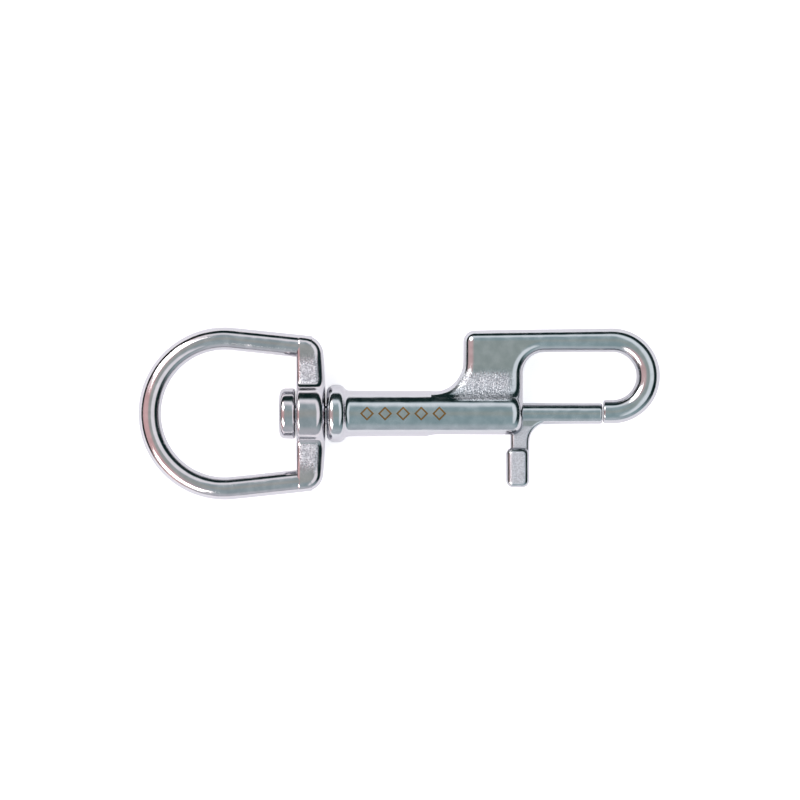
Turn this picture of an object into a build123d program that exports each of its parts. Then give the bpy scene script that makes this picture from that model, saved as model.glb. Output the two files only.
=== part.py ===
from build123d import *
import os
from math import acos, atan2, cos, degrees, radians, sin, sqrt, tan

# Swivel-eye bolt snap in cast and polished stainless steel.
#
# A D-shaped eye turns on a headed pin that is pressed into the tail of the hook body.
# The body's barrel holds a sliding bolt and the coil spring behind it. A thumb lever, cast
# in one with the bolt, stands out through a slot in the barrel and draws the bolt back, so
# that the mouth between the barrel and the hook's nose opens.
#
# Frame, in millimetres: the snap lies flat. X is the common axis of eye, pin, barrel and
# bolt, towards the hook. The hook is on the +Y side and the thumb lever on the -Y side.
# The origin is the centre of the eye's bow, on the swivel axis.

# ---- Driving dimensions -------------------------------------------------------------

# Swivel eye
EYE_INNER_WIDTH = 28.2  # widest clear width inside the bow
EYE_WIRE = 5.1  # diameter of the round bow and legs
EYE_REACH = 16.0  # bow centre to the inner face of the hub
LEG_TAPER = 6.0  # degrees by which each leg leans inwards
BRIDGE_THICKNESS = 5.1  # height of the flat bar that joins the legs
BRIDGE_SAG = 0.8  # how far the bar's outer face falls away at its ends
BRIDGE_CORNER = 4.2  # plan radius of the bar's outer corners
BRIDGE_EDGE = 2.2  # rounding of the bar's outer and end edges
HUB_LENGTH = 6.5
HUB_WALL = 4.2
HUB_FILLET = 3.2  # between the hub and the flat bar
HUB_EDGE = 0.8  # rounding of the edges that face the bow

# Swivel pin
PIN_HEAD_LENGTH = 3.7
PIN_HEAD_OVERHANG = 3.25  # head radius beyond the shank
PIN_HEAD_ROUND = 1.4
PIN_PRESS_LENGTH = 8.0  # shank inside the barrel's tail

# Sliding bolt and thumb lever
BOLT_DIAMETER = 4.7
BOLT_TRAVEL = 17.5
BOLT_GUIDED_LENGTH = 10.6  # inside the barrel when the snap is closed
BOLT_PILOT_LENGTH = 2.5  # spigot that centres the spring
BOLT_TIP_ROUND = 0.5
PILOT_CHAMFER = 0.4
NECK_WIDTH = 4.2
NECK_SETBACK = 2.8  # from the barrel's front face to the neck's rear side
NECK_FILLET = 4.4  # between the neck's front and the bolt
NECK_DROP = 0.35  # that fillet starts this far inside the bolt
NECK_EDGE = 0.9
PAD_LENGTH = 8.9
PAD_WIDTH = 5.2
PAD_THICKNESS = 6.4
PAD_CORNER = 1.6
PAD_EDGE = 1.4
PAD_GAP = 2.4  # from the barrel to the top of the thumb pad
PAD_OVERLAP = 1.0  # length of neck inside the pad

# Spring
SPRING_WIRE = 0.45
SPRING_TURNS = 11
SPRING_PACKED_LENGTH = 7.5  # room left for it when the bolt is drawn right back

# Hook body
BARREL_WALL = 2.72
COLLAR_RIM = 1.3  # collar radius beyond the barrel
COLLAR_LENGTH = 4.0
COLLAR_ROUND = 1.6
COLLAR_FILLET = 1.4
HOOK_INNER_RADIUS = 5.3
ARM_LEAN = 0.8  # degrees by which the arm's outer edge drops towards the web
NOSE_MARGIN = 0.3  # hook wire beyond the bolt, all round
NOSE_RISE = 0.4  # hook wire's centre above the bolt's axis at the nose
NOSE_STRAIGHT = 2.1  # straight end of the hook, up to its nose face
NOSE_EDGE = 0.5
WEB_LENGTH = 13.3
WEB_TOP_CORNER = 2.6
WEB_REAR_FILLET = 6.6  # plan radius between web and barrel
WEB_FRONT_FILLET = 4.8  # plan radius between web and hook arm
WEB_FLARE = 4.5  # radius by which the web's sides widen into the barrel
HEEL_SINK = 0.25  # the web's rear curve ends this far inside the barrel
HEEL_RUN = 0.5  # length of web beyond that curve
EDGE_ROUND = 2.5  # rounding of the web's, the hook's and the barrel's front edges
SLOT_EDGE = 0.8

# Engraved border on the barrel
MARK_COUNT = 5
MARK_PITCH = 4.0
MARK_WIDTH = 2.2
MARK_LINE = 0.35
MARK_DEPTH = 0.12
MARK_SETBACK = 17.0  # from the collar's rear face to the middle of the border

# Clearances
BOLT_CLEARANCE = 0.08  # radial, bolt in bore
SWIVEL_CLEARANCE = 0.08  # radial, pin in hub
AXIAL_PLAY = 0.2  # each side of the hub
SLOT_LIP = 0.45  # how far each side of the slot laps over the bolt
NECK_CLEARANCE = 0.2  # each side of the neck in its slot
SLOT_END_CLEARANCE = 0.1  # neck to the slot's round end when drawn right back
NOSE_GAP = 0.15  # bolt tip to nose when the snap is closed
MOUTH_STANDOFF = 0.15  # bolt tip in front of the barrel when drawn right back
SPRING_CLEARANCE = 0.1  # radial, spring in bore and pilot in spring
SPRING_SEAT_GAP = 0.03  # each end of the spring
BORE_CHAMFER = 0.3

NEAR = 0.01  # two places closer than this are taken to be the same

# ---- Sizes and places that follow ---------------------------------------------------

bolt_radius = BOLT_DIAMETER / 2
bore_radius = bolt_radius + BOLT_CLEARANCE
barrel_radius = bore_radius + BARREL_WALL
collar_radius = barrel_radius + COLLAR_RIM
pin_radius = bore_radius
head_radius = pin_radius + PIN_HEAD_OVERHANG
hub_bore_radius = pin_radius + SWIVEL_CLEARANCE
hub_radius = hub_bore_radius + HUB_WALL
slot_width = BOLT_DIAMETER - 2 * SLOT_LIP
neck_thickness = slot_width - 2 * NECK_CLEARANCE

hub_start = EYE_REACH
hub_end = hub_start + HUB_LENGTH
head_end = hub_start - AXIAL_PLAY
head_start = head_end - PIN_HEAD_LENGTH
body_start = hub_end + AXIAL_PLAY
pin_end = body_start + PIN_PRESS_LENGTH
bolt_start = pin_end + SPRING_PACKED_LENGTH + BOLT_TRAVEL
barrel_end = bolt_start + BOLT_GUIDED_LENGTH
bolt_tip = barrel_end + MOUTH_STANDOFF + BOLT_TRAVEL
nose_face = bolt_tip + NOSE_GAP
bend_centre = nose_face + NOSE_STRAIGHT
neck_start = barrel_end - NECK_SETBACK
neck_end = neck_start + NECK_WIDTH
web_start = barrel_end - WEB_LENGTH
heel_start = web_start - WEB_REAR_FILLET - HEEL_RUN

# The slot's round end is set back until the neck's rounded rear edges clear it.
end_room = slot_width / 2 - SLOT_END_CLEARANCE - NECK_EDGE
end_setback = sqrt(end_room**2 - (neck_thickness / 2 - NECK_EDGE) ** 2)
slot_end_centre = neck_start - BOLT_TRAVEL + NECK_EDGE + end_setback

half_wire = bolt_radius + NOSE_MARGIN
hook_radius = HOOK_INNER_RADIUS + half_wire
bend_height = NOSE_RISE + hook_radius
bend_radius = hook_radius + half_wire  # outer edge of the bend
arm_bottom = bend_height + HOOK_INNER_RADIUS
nose_bottom = NOSE_RISE - half_wire
nose_top = NOSE_RISE + half_wire
heel_height = barrel_radius - HEEL_SINK

# The arm's outer edge touches the bend here, and comes down to the web from there.
lean = radians(ARM_LEAN)
arm_touch = (bend_centre - bend_radius * sin(lean), bend_height + bend_radius * cos(lean))
web_top = arm_touch[1] - (arm_touch[0] - web_start) * tan(lean)

pad_top = -(barrel_radius + PAD_GAP)
spring_radius = bore_radius - SPRING_CLEARANCE - SPRING_WIRE / 2
pilot_radius = spring_radius - SPRING_WIRE / 2 - SPRING_CLEARANCE

underside = Plane(origin=(0, 0, 0), x_dir=(1, 0, 0), z_dir=(0, 0, -1))  # its Y axis points to -Y


def along_x(x):
    """Sketch plane square to the swivel axis at x, with its own X along +Y and its Y along +Z."""
    return Plane(origin=(x, 0, 0), x_dir=(0, 1, 0), z_dir=(1, 0, 0))


def slot_shape(width):
    """Draws the lever's slot, `width` wide, with a round rear end and a front end past the barrel."""
    with Locations((slot_end_centre, 0)):
        Circle(width / 2)
        Rectangle(barrel_end - slot_end_centre + SLOT_EDGE, width, align=(Align.MIN, Align.CENTER))


# ---- Hook body ----------------------------------------------------------------------

with BuildSketch(Plane.XY) as hook_outline:
    with BuildLine():
        Polyline(
            (bend_centre, nose_top),
            (nose_face, nose_top),
            (nose_face, nose_bottom),
            (bend_centre, nose_bottom),
        )
        ThreePointArc((bend_centre, nose_bottom), (bend_centre + bend_radius, bend_height), arm_touch)
        FilletPolyline(
            arm_touch,
            (web_start, web_top),
            (web_start, heel_height),
            (heel_start, heel_height),
            radius=[WEB_TOP_CORNER, WEB_REAR_FILLET],
        )
        Polyline((heel_start, heel_height), (heel_start, 0), (barrel_end, 0))
        FilletPolyline(
            (barrel_end, 0),
            (barrel_end, arm_bottom),
            (bend_centre, arm_bottom),
            radius=WEB_FRONT_FILLET,
        )
        ThreePointArc(
            (bend_centre, arm_bottom),
            (bend_centre + HOOK_INNER_RADIUS, bend_height),
            (bend_centre, nose_top),
        )
    make_face()

# The web's foot: its sides curve outwards until they run smoothly into the barrel. Half of
# it is made here, above the middle plane.
flare_top = sqrt((barrel_radius + WEB_FLARE) ** 2 - (half_wire + WEB_FLARE) ** 2)
flare_share = barrel_radius / (barrel_radius + WEB_FLARE)
flare_bottom = (flare_top * flare_share, (half_wire + WEB_FLARE) * flare_share)
flare_angle = degrees(atan2(flare_top, half_wire + WEB_FLARE))

with BuildPart() as half_foot:
    with BuildSketch(along_x(heel_start)):
        with BuildLine():
            Polyline(flare_bottom, (0, flare_bottom[1]), (0, 0), (flare_top, 0), (flare_top, half_wire))
            RadiusArc((flare_top, half_wire), flare_bottom, WEB_FLARE)
        make_face()
    extrude(amount=barrel_end - heel_start)
    extrude(hook_outline.sketch, amount=barrel_radius, mode=Mode.INTERSECT)
    heel_edges = edges().filter_by(lambda e: e.center().Z > half_wire and e.center().Y > heel_height - NEAR)
    fillet(heel_edges.filter_by(lambda e: heel_start < e.center().X - NEAR < web_start), EDGE_ROUND)

    # Front edge, rounded about the flare's own axis, and below it cut back to the barrel's end.
    with BuildSketch(Plane.XZ.offset(-flare_top)):
        with Locations((barrel_end, half_wire)):
            Rectangle(2 * EDGE_ROUND, 2 * EDGE_ROUND)
        with Locations((barrel_end - EDGE_ROUND, half_wire - EDGE_ROUND)):
            Circle(EDGE_ROUND, mode=Mode.SUBTRACT)
    flare_axis = Axis((0, flare_top, half_wire + WEB_FLARE), (1, 0, 0))
    revolve(axis=flare_axis, revolution_arc=-flare_angle, mode=Mode.SUBTRACT)
    with BuildSketch(along_x(barrel_end - EDGE_ROUND)):
        Polygon((0, 0), (2 * flare_bottom[0], 2 * flare_bottom[1]), (0, 2 * flare_bottom[1]), align=None)
    extrude(amount=2 * EDGE_ROUND, mode=Mode.SUBTRACT)

# A border of plain lozenges, cut into the barrel's surface.
mark_inside = MARK_WIDTH - 2 * MARK_LINE

with BuildPart() as engraving:
    with BuildSketch(Plane.XY):
        with Locations((body_start + MARK_SETBACK, 0)):
            with GridLocations(MARK_PITCH, 0, MARK_COUNT, 1):
                Rectangle(MARK_WIDTH, MARK_WIDTH, rotation=45)
                Rectangle(mark_inside, mark_inside, rotation=45, mode=Mode.SUBTRACT)
    extrude(amount=barrel_radius + MARK_DEPTH)
    with BuildSketch(along_x(body_start)):
        Circle(barrel_radius - MARK_DEPTH)
    extrude(amount=2 * MARK_SETBACK, mode=Mode.SUBTRACT)

collar_turn = degrees(acos(1 - COLLAR_RIM / (COLLAR_ROUND + COLLAR_FILLET)))
collar_crest = body_start + COLLAR_LENGTH - COLLAR_ROUND * sin(radians(collar_turn))

with BuildPart() as hook_body:
    # Web, arm, bend and nose
    extrude(hook_outline.sketch, amount=half_wire, both=True)
    rim = edges().filter_by(lambda e: abs(e.center().Z) > half_wire - NEAR and abs(e.center().Y) > NEAR)
    rim = rim.filter_by(lambda e: e.center().X > heel_start + NEAR and abs(e.center().X - nose_face) > NEAR)
    fillet(rim, EDGE_ROUND)
    nose_end = faces().sort_by(lambda f: (f.center() - Vector(nose_face, NOSE_RISE, 0)).length)[0]
    fillet(nose_end.edges(), NOSE_EDGE)
    add(half_foot.part)
    add(mirror(half_foot.part, about=Plane.XY, mode=Mode.PRIVATE))

    # Collar and barrel, with their seam on the slot's side
    with BuildSketch(underside):
        with BuildLine():
            tail_face = Line((body_start, 0), (body_start, collar_radius - COLLAR_ROUND))
            tail_round = JernArc(tail_face @ 1, tail_face % 1, COLLAR_ROUND, -90)
            crest = Line(tail_round @ 1, (collar_crest, collar_radius))
            collar_front = JernArc(crest @ 1, crest % 1, COLLAR_ROUND, -collar_turn)
            collar_root = JernArc(collar_front @ 1, collar_front % 1, COLLAR_FILLET, collar_turn)
            side = Line(collar_root @ 1, (barrel_end - EDGE_ROUND, barrel_radius))
            front_round = JernArc(side @ 1, side % 1, EDGE_ROUND, -90)
            Polyline(front_round @ 1, (barrel_end, 0), (body_start, 0))
        make_face()
    revolve(axis=Axis.X)

    # Bore, right through, and the slot for the thumb lever
    with BuildSketch(underside):
        with BuildLine():
            Polyline(
                (body_start, 0),
                (body_start, bore_radius + BORE_CHAMFER),
                (body_start + BORE_CHAMFER, bore_radius),
                (barrel_end - BORE_CHAMFER, bore_radius),
                (barrel_end, bore_radius + BORE_CHAMFER),
                (barrel_end, 0),
                close=True,
            )
        make_face()
    revolve(axis=Axis.X, mode=Mode.SUBTRACT)
    with BuildSketch(Plane.XZ.offset(barrel_radius)):
        slot_shape(slot_width)
    extrude(amount=-barrel_radius, mode=Mode.SUBTRACT)
    with BuildSketch(Plane.XZ.offset(barrel_radius)):
        slot_shape(slot_width + 2 * SLOT_EDGE)
    extrude(amount=-SLOT_EDGE, taper=45, mode=Mode.SUBTRACT)
    add(engraving.part, mode=Mode.SUBTRACT)

# ---- Sliding bolt with thumb lever --------------------------------------------------

neck_top = NECK_DROP - bolt_radius
neck_bottom = pad_top - PAD_OVERLAP
neck_front = neck_end + NECK_FILLET + PAD_OVERLAP
pad_middle = (neck_end - PAD_WIDTH / 2, pad_top - PAD_LENGTH / 2)

with BuildPart() as thumb_pad:
    with BuildSketch(Plane.XY):
        with Locations(pad_middle):
            Rectangle(PAD_WIDTH, PAD_LENGTH)
        fillet(vertices(), PAD_CORNER)
    extrude(amount=PAD_THICKNESS / 2, both=True)
    fillet(faces().filter_by(Axis.Z).edges(), PAD_EDGE)

with BuildPart() as bolt:
    with BuildSketch(Plane.XY):
        with BuildLine():
            FilletPolyline(
                (neck_front, neck_top),
                (neck_end, neck_top),
                (neck_end, neck_bottom),
                radius=NECK_FILLET,
            )
            Polyline(
                (neck_end, neck_bottom),
                (neck_start, neck_bottom),
                (neck_start, 0),
                (neck_front, 0),
                (neck_front, neck_top),
            )
        make_face()
    extrude(amount=neck_thickness / 2, both=True)
    neck_rim = edges().filter_by(lambda e: abs(e.center().Z) > neck_thickness / 2 - NEAR)
    neck_rim = neck_rim.filter_by(lambda e: neck_bottom + NEAR < e.center().Y < -NEAR)
    neck_rim = neck_rim.filter_by(lambda e: e.center().X < neck_front - NEAR)
    fillet(neck_rim, NECK_EDGE)
    add(thumb_pad.part)
    with BuildSketch(Plane.XY):
        with BuildLine():
            Polyline(
                (bolt_start - BOLT_PILOT_LENGTH, 0),
                (bolt_start - BOLT_PILOT_LENGTH, pilot_radius),
                (bolt_start, pilot_radius),
                (bolt_start, bolt_radius),
                (bolt_tip, bolt_radius),
                (bolt_tip, 0),
                close=True,
            )
        make_face()
    revolve(axis=Axis.X)
    fillet(faces().sort_by(Axis.X)[-1].edges(), BOLT_TIP_ROUND)
    chamfer(faces().sort_by(Axis.X)[0].edges(), PILOT_CHAMFER)

# ---- Spring -------------------------------------------------------------------------

coil_start = pin_end + SPRING_SEAT_GAP + SPRING_WIRE / 2
coil_length = bolt_start - SPRING_SEAT_GAP - SPRING_WIRE / 2 - coil_start

with BuildPart() as spring:
    with BuildLine():
        coil = Helix(
            pitch=coil_length / SPRING_TURNS,
            height=coil_length,
            radius=spring_radius,
            center=(coil_start, 0, 0),
            direction=(1, 0, 0),
        )
    with BuildSketch(Plane(origin=coil @ 0, z_dir=coil % 0)):
        Circle(SPRING_WIRE / 2)
    sweep(path=coil, is_frenet=True)

# ---- Swivel pin ---------------------------------------------------------------------

with BuildPart() as swivel_pin:
    with BuildSketch(Plane.XY):
        with BuildLine():
            Polyline(
                (head_start, 0),
                (head_start, head_radius),
                (head_end, head_radius),
                (head_end, pin_radius),
                (pin_end, pin_radius),
                (pin_end, 0),
                close=True,
            )
        make_face()
    revolve(axis=Axis.X)
    fillet(faces().sort_by(Axis.X)[0].edges(), PIN_HEAD_ROUND)
    head_rear = edges().filter_by(lambda e: abs(e.center().X - head_end) < NEAR)
    fillet(head_rear.sort_by(lambda e: e.radius)[-1], PIN_HEAD_ROUND / 2)
    chamfer(faces().sort_by(Axis.X)[-1].edges(), BORE_CHAMFER)

# ---- Swivel eye ---------------------------------------------------------------------

bow_radius = (EYE_INNER_WIDTH + EYE_WIRE) / 2
leg_end = hub_start + HUB_LENGTH / 2
taper = radians(LEG_TAPER)


def leg_height(x, side=0.0):
    """Distance from the swivel axis to a leg at x, on its centre line or `side` radii out from it."""
    return (bow_radius - x * sin(taper) + side * EYE_WIRE / 2) / cos(taper)


with BuildPart() as swivel_eye:
    # Bridge and hub: the bar's cross-section with the hub's, run along X and cut to plan.
    with BuildSketch(along_x(hub_start)):
        Rectangle(2 * leg_height(hub_start, 1), BRIDGE_THICKNESS)
        Circle(hub_radius)
        fillet(vertices().filter_by(lambda v: abs(v.X) < hub_radius), HUB_FILLET)
    extrude(amount=HUB_LENGTH)
    with BuildSketch(Plane.XY):
        with BuildLine():
            Polyline(
                (hub_end - BRIDGE_SAG, -leg_height(hub_end, 1)),
                (hub_start, -leg_height(hub_start, 1)),
                (hub_start, leg_height(hub_start, 1)),
                (hub_end - BRIDGE_SAG, leg_height(hub_end, 1)),
            )
            ThreePointArc(
                (hub_end - BRIDGE_SAG, leg_height(hub_end, 1)),
                (hub_end, 0),
                (hub_end - BRIDGE_SAG, -leg_height(hub_end, 1)),
            )
        make_face()
        fillet(vertices().group_by(Axis.X)[-1], BRIDGE_CORNER)
    extrude(amount=hub_radius, both=True, mode=Mode.INTERSECT)
    side_edges = edges().filter_by(lambda e: abs(e.center().Z) > BRIDGE_THICKNESS / 2 - NEAR)
    outer_rim = side_edges.filter_by(lambda e: e.center().X > hub_start + NEAR)
    fillet(outer_rim.filter_by(Axis.X, reverse=True), BRIDGE_EDGE)
    inner_rim = faces().sort_by(Axis.X)[0].edges()
    fillet(inner_rim.filter_by(lambda e: abs(e.center().Y) < leg_height(hub_start, 1) - NEAR), HUB_EDGE)

    # Bow and legs
    with BuildLine():
        start = Vector(leg_end, -leg_height(leg_end))
        end = Vector(leg_end, leg_height(leg_end))
        tangent_x = bow_radius * sin(taper)
        tangent_y = bow_radius * cos(taper)
        Line(start, (tangent_x, -tangent_y))
        ThreePointArc((tangent_x, -tangent_y), (-bow_radius, 0), (tangent_x, tangent_y))
        Line((tangent_x, tangent_y), end)
    with BuildSketch(Plane(origin=start, z_dir=(-cos(taper), -sin(taper), 0))):
        Circle(EYE_WIRE / 2)
    sweep()
    with BuildSketch(along_x(hub_start)):
        Circle(hub_bore_radius)
    extrude(amount=HUB_LENGTH, mode=Mode.SUBTRACT)

# ---- Files --------------------------------------------------------------------------

os.makedirs("parts", exist_ok=True)

hook_body.part.label = "hook_body"
export_step(hook_body.part, "parts/hook_body.step")
bolt.part.label = "bolt"
export_step(bolt.part, "parts/bolt.step")
spring.part.label = "spring"
export_step(spring.part, "parts/spring.step")
swivel_pin.part.label = "swivel_pin"
export_step(swivel_pin.part, "parts/swivel_pin.step")
swivel_eye.part.label = "swivel_eye"
export_step(swivel_eye.part, "parts/swivel_eye.step")
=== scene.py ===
from math import cos, pi, sin

import bmesh
import bpy
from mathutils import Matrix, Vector


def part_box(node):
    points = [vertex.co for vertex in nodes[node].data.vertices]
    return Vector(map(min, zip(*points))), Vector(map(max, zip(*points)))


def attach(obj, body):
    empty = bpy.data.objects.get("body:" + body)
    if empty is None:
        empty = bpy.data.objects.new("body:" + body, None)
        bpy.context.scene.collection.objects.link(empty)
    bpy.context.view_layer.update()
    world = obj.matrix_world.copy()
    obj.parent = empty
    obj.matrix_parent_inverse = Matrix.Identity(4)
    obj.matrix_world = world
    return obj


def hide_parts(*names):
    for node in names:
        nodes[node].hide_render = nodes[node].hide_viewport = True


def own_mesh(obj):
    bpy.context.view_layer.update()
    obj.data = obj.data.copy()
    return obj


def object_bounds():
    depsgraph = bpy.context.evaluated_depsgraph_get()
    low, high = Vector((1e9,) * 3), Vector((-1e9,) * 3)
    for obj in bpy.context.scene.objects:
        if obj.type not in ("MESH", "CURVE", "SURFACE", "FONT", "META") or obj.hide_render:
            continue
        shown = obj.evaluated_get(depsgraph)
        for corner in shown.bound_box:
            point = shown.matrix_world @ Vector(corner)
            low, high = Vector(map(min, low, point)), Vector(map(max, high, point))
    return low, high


# Looks of the swivel-eye bolt snap: cast and polished stainless steel on a pale studio floor.
# Everything is in metres, in the part's own frame: the snap lies flat, X runs from the eye to
# the hook, and the side that faces the camera is +Z.

MM = 0.001

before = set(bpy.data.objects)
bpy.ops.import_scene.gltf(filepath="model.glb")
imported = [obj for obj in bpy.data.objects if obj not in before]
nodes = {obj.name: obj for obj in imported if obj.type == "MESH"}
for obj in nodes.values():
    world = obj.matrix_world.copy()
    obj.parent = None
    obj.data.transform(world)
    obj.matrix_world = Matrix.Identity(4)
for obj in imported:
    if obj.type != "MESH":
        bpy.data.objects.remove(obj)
cad_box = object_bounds()

# ---- Places, from the frame ---------------------------------------------------------

COLLAR_STEP = 1.3 * MM  # the collar stands this far out from the barrel

_, body_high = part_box("hook_body")
spring_low, spring_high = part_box("spring")

collar_radius = body_high.z
barrel_radius = collar_radius - COLLAR_STEP

# ---- Node helpers -------------------------------------------------------------------


class Graph:
    """A node tree, with short calls for the nodes that every finish here needs."""

    def __init__(self, owner, shader="Principled BSDF", coordinates="Object"):
        owner.use_nodes = True
        self.owner = owner
        self.tree = owner.node_tree
        self.shader = self.tree.nodes[shader]
        self.place = self.add("ShaderNodeTexCoord").outputs[coordinates]

    def add(self, kind, inputs=None, **settings):
        node = self.tree.nodes.new(kind)
        for key, value in settings.items():
            setattr(node, key, value)
        for key, value in (inputs or {}).items():
            if isinstance(value, bpy.types.NodeSocket):
                self.tree.links.new(value, node.inputs[key])
            else:
                node.inputs[key].default_value = value
        return node

    def maths(self, operation, a, b=0.0, clamp=False):
        return self.add("ShaderNodeMath", {0: a, 1: b}, operation=operation, use_clamp=clamp).outputs[0]

    def ramp(self, value, low, high, to_low=0.0, to_high=1.0):
        """Smooth step from to_low to to_high. It falls where low is the larger bound."""
        node = self.add(
            "ShaderNodeMapRange",
            {"Value": value, "From Min": low, "From Max": high, "To Min": to_low, "To Max": to_high},
            interpolation_type="SMOOTHSTEP",
        )
        return node.outputs["Result"]

    def stretched(self, scale):
        return self.add("ShaderNodeMapping", {"Vector": self.place, "Scale": scale}).outputs["Vector"]

    def noise(self, vector, scale, detail=2.0, roughness=0.5):
        node = self.add(
            "ShaderNodeTexNoise",
            {"Vector": vector, "Scale": scale, "Detail": detail, "Roughness": roughness},
        )
        return node.outputs["Fac"]

    def blend(self, share, a, b):
        node = self.add("ShaderNodeMix", {0: share}, data_type="RGBA")
        for socket, value in ((node.inputs[6], a), (node.inputs[7], b)):
            if isinstance(value, bpy.types.NodeSocket):
                self.tree.links.new(value, socket)
            else:
                socket.default_value = value
        return node.outputs[2]

    def bump(self, height, distance, strength=1.0, normal=None):
        inputs = {"Height": height, "Distance": distance, "Strength": strength}
        if normal is not None:
            inputs["Normal"] = normal
        return self.add("ShaderNodeBump", inputs).outputs["Normal"]

    def link(self, value, socket):
        self.tree.links.new(value, self.shader.inputs[socket])


def grey(value, blue=0.0):
    """Grey that leans towards blue."""
    return (value - blue / 2, value, value + blue, 1.0)


# ---- Finishes -----------------------------------------------------------------------

# Steel tones, partly the steel's own grey and partly a painted reflection tint: teal for the body and
# bolt, pink for the eye and pin.
COOL_STEEL_AND_TEAL_REFLECTION = ((0.47, 0.505, 0.51, 1.0), (0.54, 0.57, 0.575, 1.0))
WARM_STEEL_AND_PINK_REFLECTION = ((0.545, 0.515, 0.52, 1.0), (0.62, 0.585, 0.59, 1.0))
# Painted shade: the flanks, where the surface turns away from facing up, get a darker base colour than
# the crests.
PAINTED_FLANK_SHADE = (0.40, 0.40, 0.43, 1.0)
CAST_SKIN = (grey(0.20, 0.03), grey(0.72, 0.03))
LEVER_SKIN = (grey(0.44, 0.03), grey(0.70, 0.04))
WIRE = (grey(0.42), grey(0.58, 0.01))
ENGRAVING = (0.20, 0.115, 0.035, 1.0)

SKIN_SHARE = 0.8  # how far the bare casting skin hides the polished tones
CAST_SKIN_ROUGHNESS = 0.30
LEVER_SKIN_ROUGHNESS = 0.42
ENGRAVING_ROUGHNESS = 0.5

# Each region sets in or ends smoothly between its two distances.
BRIDGE_FROM = (16.2 * MM, 17.2 * MM)  # along X
BRIDGE_FROM_HUB = (5.2 * MM, 6.6 * MM)  # from the axis
BRIDGE_TO_LEG = (14.5 * MM, 9.5 * MM)  # from the axis
WEB_FOOT = (2.7 * MM, 3.3 * MM)  # from the axis
WEB_TOP = (10.6 * MM, 7.2 * MM)  # from the axis
WEB_REAR = (47.5 * MM, 42.0 * MM)  # back from the hook's end
WEB_FRONT = (31.8 * MM, 34.6 * MM)  # back from the hook's end
LEVER_FROM = (-2.3 * MM, -3.4 * MM)  # along Y
ENGRAVED_DEPTH = (0.05 * MM, 0.08 * MM)  # below the barrel's surface
ENGRAVED_FLOOR = (0.4 * MM, 0.3 * MM)  # below the barrel's surface
ENGRAVED_UPPER = (3.0 * MM, 3.2 * MM)  # along Z
ENGRAVED_REAR = (29.0 * MM, 29.5 * MM)  # along X
ENGRAVED_FRONT = (50.5 * MM, 50.0 * MM)  # along X


def cast_stainless(name, tones, grain_mask=None, mark_mask=None, streaks=0.0):
    """Polished cast steel. grain_mask says where bare skin shows, and mark_mask where it is engraved."""
    g = Graph(bpy.data.materials.new(name))
    g.shader.inputs["Metallic"].default_value = 1.0

    # Uneven polish: the skin dips and swells over a few millimetres.
    swell = g.noise(g.place, 260.0, 1.0)
    normal = g.bump(swell, 0.12 * MM, 0.5)

    # Polishing lines along the piece, and fine pits that the wheel left.
    lines = g.noise(g.stretched((60.0, 2600.0, 2600.0)), 1.0, 3.0, 0.6)
    normal = g.bump(lines, 0.01 * MM, 0.25 + streaks, normal)

    cloud = g.noise(g.place, 420.0, 3.0)
    rough = g.ramp(cloud, 0.35, 0.7, 0.10, 0.18)
    # Colour: the given tones clouded on the crests, with their painted reflection tint, and a painted
    # shade down the flanks.
    colour = steel_tones_with_painted_shade(g, cloud, tones)

    if grain_mask is not None:
        mask = grain_mask(g)
        grain = g.noise(g.place, 2900.0, 2.0, 0.7)
        grain_height = g.maths("MULTIPLY", grain, mask)
        normal = g.bump(grain_height, 0.18 * MM, 1.0, normal)
        rough = g.add("ShaderNodeMix", {0: mask, 2: rough, 3: CAST_SKIN_ROUGHNESS}).outputs[0]
        speck = g.blend(g.ramp(grain, 0.35, 0.65), *CAST_SKIN)
        colour = g.blend(g.maths("MULTIPLY", mask, SKIN_SHARE), colour, speck)

    if mark_mask is not None:
        mask = mark_mask(g)
        colour = g.blend(mask, colour, ENGRAVING)
        rough = g.add("ShaderNodeMix", {0: mask, 2: rough, 3: ENGRAVING_ROUGHNESS}).outputs[0]

    g.link(colour, "Base Color")
    g.link(rough, "Roughness")
    g.link(normal, "Normal")
    return g.owner


def axes_of(g):
    split = g.add("ShaderNodeSeparateXYZ", {"Vector": g.place}).outputs
    return split["X"], split["Y"], split["Z"]


def facing_up(g, low=0.86, high=0.98):
    """1 where the surface faces either side of the flat snap, 0 on its edges."""
    normal = g.add("ShaderNodeTexCoord").outputs["Normal"]
    z = g.add("ShaderNodeSeparateXYZ", {"Vector": normal}).outputs["Z"]
    return g.ramp(g.maths("ABSOLUTE", z), low, high)


def steel_tones_with_painted_shade(g, cloud, tones):
    """Two clouded tones on the crests, which carry a painted reflection tint, and a painted shade: one
    darker tone down the flanks.
    """
    crest = g.blend(g.ramp(cloud, 0.3, 0.7), *tones)
    # Painted shade: the darker flank tone wherever the surface turns away from facing up.
    return g.blend(facing_up(g, 0.55, 0.85), PAINTED_FLANK_SHADE, crest)


def bridge_grain(g):
    """Bare casting skin on the flat faces of the eye's bridge, beside the hub."""
    x, y, _ = axes_of(g)
    on_bridge = g.ramp(x, *BRIDGE_FROM)
    beside_hub = g.ramp(g.maths("ABSOLUTE", y), *BRIDGE_FROM_HUB)
    short_of_leg = g.ramp(g.maths("ABSOLUTE", y), *BRIDGE_TO_LEG)
    share = g.maths("MULTIPLY", g.maths("MULTIPLY", on_bridge, beside_hub), short_of_leg)
    return g.maths("MULTIPLY", share, facing_up(g))


def web_grain(g):
    """Bare casting skin in the hollow where the web runs into the barrel."""
    x, y, _ = axes_of(g)
    low = g.ramp(y, *WEB_FOOT)
    high = g.ramp(y, *WEB_TOP)
    ahead = g.ramp(x, *(body_high.x - distance for distance in WEB_REAR))
    behind = g.ramp(x, *(body_high.x - distance for distance in WEB_FRONT))
    return g.maths("MULTIPLY", g.maths("MULTIPLY", low, high), g.maths("MULTIPLY", ahead, behind))


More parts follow.
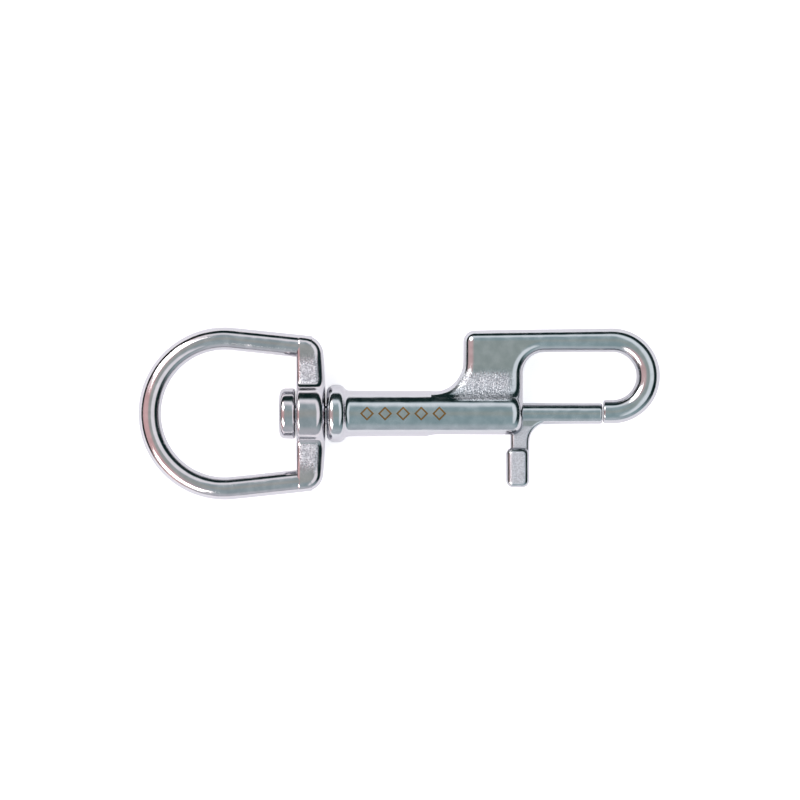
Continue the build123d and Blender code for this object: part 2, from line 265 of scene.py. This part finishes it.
def engraved(g):
    """1 on the sunk floor of the engraved border."""
    x, y, z = axes_of(g)
    radius = g.maths("SQRT", g.maths("ADD", g.maths("MULTIPLY", y, y), g.maths("MULTIPLY", z, z)))
    sunk = g.ramp(radius, *(barrel_radius - depth for depth in ENGRAVED_DEPTH))
    outside_bore = g.ramp(radius, *(barrel_radius - depth for depth in ENGRAVED_FLOOR))
    upper = g.ramp(z, *ENGRAVED_UPPER)
    behind = g.ramp(x, *ENGRAVED_FRONT)
    ahead = g.ramp(x, *ENGRAVED_REAR)
    share = g.maths("MULTIPLY", g.maths("MULTIPLY", sunk, outside_bore), upper)
    return g.maths("MULTIPLY", g.maths("MULTIPLY", behind, ahead), share)


def bolt_finish():
    """Satin bolt with lengthwise lines; the flats of the lever show the bare casting skin."""
    g = Graph(bpy.data.materials.new("bolt satin steel"))
    g.shader.inputs["Metallic"].default_value = 1.0
    _, y, _ = axes_of(g)
    lever = g.ramp(y, *LEVER_FROM)
    lines = g.noise(g.stretched((40.0, 3200.0, 3200.0)), 1.0, 3.0, 0.6)
    normal = g.bump(lines, 0.012 * MM, 0.5)
    swell = g.noise(g.place, 300.0, 1.0)
    normal = g.bump(swell, 0.1 * MM, 0.4, normal)
    flat = g.maths("MULTIPLY", lever, facing_up(g))
    grain = g.noise(g.place, 3600.0, 2.0, 0.7)
    normal = g.bump(g.maths("MULTIPLY", grain, flat), 0.08 * MM, 1.0, normal)
    cloud = g.noise(g.place, 500.0, 3.0)
    rough = g.ramp(cloud, 0.3, 0.7, 0.12, 0.2)
    rough = g.add("ShaderNodeMix", {0: flat, 2: rough, 3: LEVER_SKIN_ROUGHNESS}).outputs[0]
    # Colour: teal-tinted steel tones, with a painted reflection tint, and a painted shade down the
    # flanks.
    colour = steel_tones_with_painted_shade(g, cloud, COOL_STEEL_AND_TEAL_REFLECTION)
    speck = g.blend(g.ramp(grain, 0.35, 0.65), *LEVER_SKIN)
    colour = g.blend(g.maths("MULTIPLY", flat, SKIN_SHARE), colour, speck)
    g.link(colour, "Base Color")
    g.link(rough, "Roughness")
    g.link(normal, "Normal")
    return g.owner


def wire_finish():
    """Drawn spring wire: dull, with faint die lines."""
    g = Graph(bpy.data.materials.new("spring wire"))
    g.shader.inputs["Metallic"].default_value = 1.0
    cloud = g.noise(g.place, 1400.0, 3.0)
    g.link(g.blend(g.ramp(cloud, 0.3, 0.7), *WIRE), "Base Color")
    g.link(g.ramp(cloud, 0.3, 0.7, 0.22, 0.36), "Roughness")
    g.link(g.bump(cloud, 0.01 * MM, 0.4), "Normal")
    return g.owner


def floor_finish():
    """Matte studio paper with the faintest tooth."""
    g = Graph(bpy.data.materials.new("studio floor"))
    tooth = g.noise(g.place, 900.0, 3.0)
    g.link(g.blend(tooth, (0.93, 0.93, 0.93, 1.0), (0.95, 0.95, 0.95, 1.0)), "Base Color")
    g.link(g.ramp(tooth, 0.3, 0.7, 0.85, 0.95), "Roughness")
    g.shader.inputs["Emission Color"].default_value = (0.98, 0.97, 1.0, 1.0)
    g.shader.inputs["Emission Strength"].default_value = 0.56
    return g.owner


def dress(node, material):
    """Gives a CAD node its finish, in every slot it has."""
    mesh = nodes[node].data
    if not mesh.materials:
        mesh.materials.append(material)
    for i in range(len(mesh.materials)):
        mesh.materials[i] = material


# The body's tones carry a painted teal reflection tint. The eye's and pin's tones carry a painted pink
# one.
dress("hook_body", cast_stainless("cast body", COOL_STEEL_AND_TEAL_REFLECTION, web_grain, engraved, 0.35))
dress("swivel_eye", cast_stainless("cast eye", WARM_STEEL_AND_PINK_REFLECTION, bridge_grain))
dress("swivel_pin", cast_stainless("turned pin", WARM_STEEL_AND_PINK_REFLECTION))
dress("bolt", bolt_finish())


# ---- Spring -------------------------------------------------------------------------

WIRE_DIAMETER = 0.45 * MM
CLOSED_TURNS = 1.5  # at each end
ACTIVE_TURNS = 9.0
STEPS_PER_TURN = 40
WIRE_SIDES = 12


def coil_spring(low, high):
    """Closed and ground coil spring that fills the CAD spring's place."""
    wire = WIRE_DIAMETER
    mean_radius = (high.z - low.z) / 2 - wire / 2
    length = high.x - low.x
    closed, active = CLOSED_TURNS, ACTIVE_TURNS
    turns = active + 2 * closed
    steps, sides = int(turns * STEPS_PER_TURN), WIRE_SIDES
    pitch = (length - wire * (2 * closed + 0.5)) / active

    def advance(turn):
        """Distance along the axis after that many turns, from the first end."""
        if turn < closed:
            return turn * wire
        if turn > closed + active:
            return closed * wire + active * pitch + (turn - closed - active) * wire
        return closed * wire + (turn - closed) * pitch

    mesh = bmesh.new()
    rings = []
    for i in range(steps + 1):
        turn = turns * i / steps
        angle = 2 * pi * turn
        x = low.x + wire / 4 + advance(turn)
        outward = Vector((0, cos(angle), sin(angle)))
        ring = []
        for k in range(sides):
            a = 2 * pi * k / sides
            p = Vector((x, 0, 0)) + outward * (mean_radius + cos(a) * wire / 2)
            p = p + Vector((sin(a) * wire / 2, 0, 0))
            p.x = min(max(p.x, low.x), high.x)
            ring.append(mesh.verts.new(p))
        rings.append(ring)
    for a, b in zip(rings, rings[1:]):
        for k in range(sides):
            mesh.faces.new((a[k], a[(k + 1) % sides], b[(k + 1) % sides], b[k]))
    mesh.faces.new(rings[0])
    mesh.faces.new(reversed(rings[-1]))
    bmesh.ops.recalc_face_normals(mesh, faces=mesh.faces)
    data = bpy.data.meshes.new("coil_spring")
    mesh.to_mesh(data)
    mesh.free()
    for polygon in data.polygons:
        polygon.use_smooth = True
    coil = bpy.data.objects.new("coil_spring", data)
    bpy.context.scene.collection.objects.link(coil)
    data.materials.append(wire_finish())
    return coil


coil = coil_spring(spring_low, spring_high)
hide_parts("spring")
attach(coil, "body")
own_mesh(coil)

# ---- Stage --------------------------------------------------------------------------


def plane(name, half, z, material):
    data = bpy.data.meshes.new(name)
    corners = [(-half, -half, z), (half, -half, z), (half, half, z), (-half, half, z)]
    data.from_pydata(corners, [], [(0, 1, 2, 3)])
    data.materials.append(material)
    obj = bpy.data.objects.new(name, data)
    bpy.context.scene.collection.objects.link(obj)
    return obj


low, high = cad_box[0], cad_box[1]
plane("floor", 1.6, low[2] - 0.02 * MM, floor_finish())


LIGHT_TARGET = (0.04, 0.0, 0.0)


def softbox(name, at, size, power):
    light = bpy.data.lights.new(name, "AREA")
    light.shape = "RECTANGLE"
    light.size, light.size_y = size
    light.energy = power
    obj = bpy.data.objects.new(name, light)
    obj.location = at
    obj.rotation_euler = (Vector(LIGHT_TARGET) - Vector(at)).to_track_quat("-Z", "Y").to_euler()
    bpy.context.scene.collection.objects.link(obj)


NEUTRAL_ABOVE = (0.45, 0.50, 0.495, 1.0)
TEAL_ABOVE = (0.38, 0.49, 0.53, 1.0)
WARM_END = (0.84, 0.56, 0.57, 1.0)
FRONT = (0.62, 0.67, 0.73, 1.0)
PALE_STRIP = (1.10, 1.12, 1.20, 1.0)
DARK_STRIP = (0.006, 0.024, 0.024, 1.0)
SKIRTING = (0.86, 0.85, 0.94, 1.0)
ROOM_STRENGTH = 1.06


def room():
    """Surroundings that the steel mirrors, given by direction: -1 to 1 along each axis."""
    world = bpy.data.worlds.new("room")
    bpy.context.scene.world = world
    g = Graph(world, "Background", "Generated")
    x, y, z = axes_of(g)
    forward = g.maths("MAXIMUM", x, 0.0)

    # Overhead: neutral straight above, teal to the sides, warm towards the eye's end.
    off_centre = g.ramp(g.maths("ABSOLUTE", y), 0.0, 0.40)
    colour = g.blend(off_centre, NEUTRAL_ABOVE, TEAL_ABOVE)
    colour = g.blend(g.ramp(x, -0.08, -0.40), colour, WARM_END)
    colour = g.blend(g.ramp(y, -0.72, -0.97), colour, FRONT)

    # Pale strip above the dark one, at the back and towards the hook's end.
    slope = g.maths("MULTIPLY_ADD", x, -0.12)
    g.tree.links.new(z, slope.node.inputs[2])
    reach = g.maths("MULTIPLY_ADD", forward, -0.9)
    g.tree.links.new(z, reach.node.inputs[2])
    side = g.maths("ADD", g.ramp(y, 0.15, 0.40), g.ramp(x, 0.12, 0.30), clamp=True)
    strip = g.maths("MULTIPLY", g.ramp(slope, 0.54, 0.61), g.ramp(reach, 0.86, 0.68))
    colour = g.blend(g.maths("MULTIPLY", strip, side), colour, PALE_STRIP)

    # Dark strip low down, everywhere but at the front, and the pale skirting below it.
    dark = g.maths("MULTIPLY", g.ramp(slope, 0.56, 0.47), g.ramp(y, -0.75, -0.35))
    colour = g.blend(dark, colour, DARK_STRIP)
    colour = g.blend(g.ramp(z, 0.07, 0.02), colour, SKIRTING)
    g.link(colour, "Color")
    g.shader.inputs["Strength"].default_value = ROOM_STRENGTH


room()
softbox("window_light", (-0.42, 0.42, 0.62), (0.40, 0.52), 3.6)
softbox("fill_light", (-0.40, -0.52, 0.50), (0.54, 0.36), 3.0)

# ---- Camera -------------------------------------------------------------------------

length = high[0] - low[0]
centre = ((low[0] + high[0]) / 2, (low[1] + high[1]) / 2)
VIEW_WIDTH = 1.533 * length  # the snap fills just under two thirds of the picture
CAMERA_HEIGHT = 1.0

camera = bpy.data.cameras.new("camera")
camera.sensor_width = 36.0
camera.lens = camera.sensor_width * CAMERA_HEIGHT / VIEW_WIDTH
camera.clip_end = 10.0
camera_object = bpy.data.objects.new("camera", camera)
camera_object.location = (centre[0] + 0.2 * MM, centre[1] + 3.0 * MM, CAMERA_HEIGHT)
bpy.context.scene.collection.objects.link(camera_object)
bpy.context.scene.camera = camera_object
bpy.context.scene.view_settings.view_transform = "Standard"
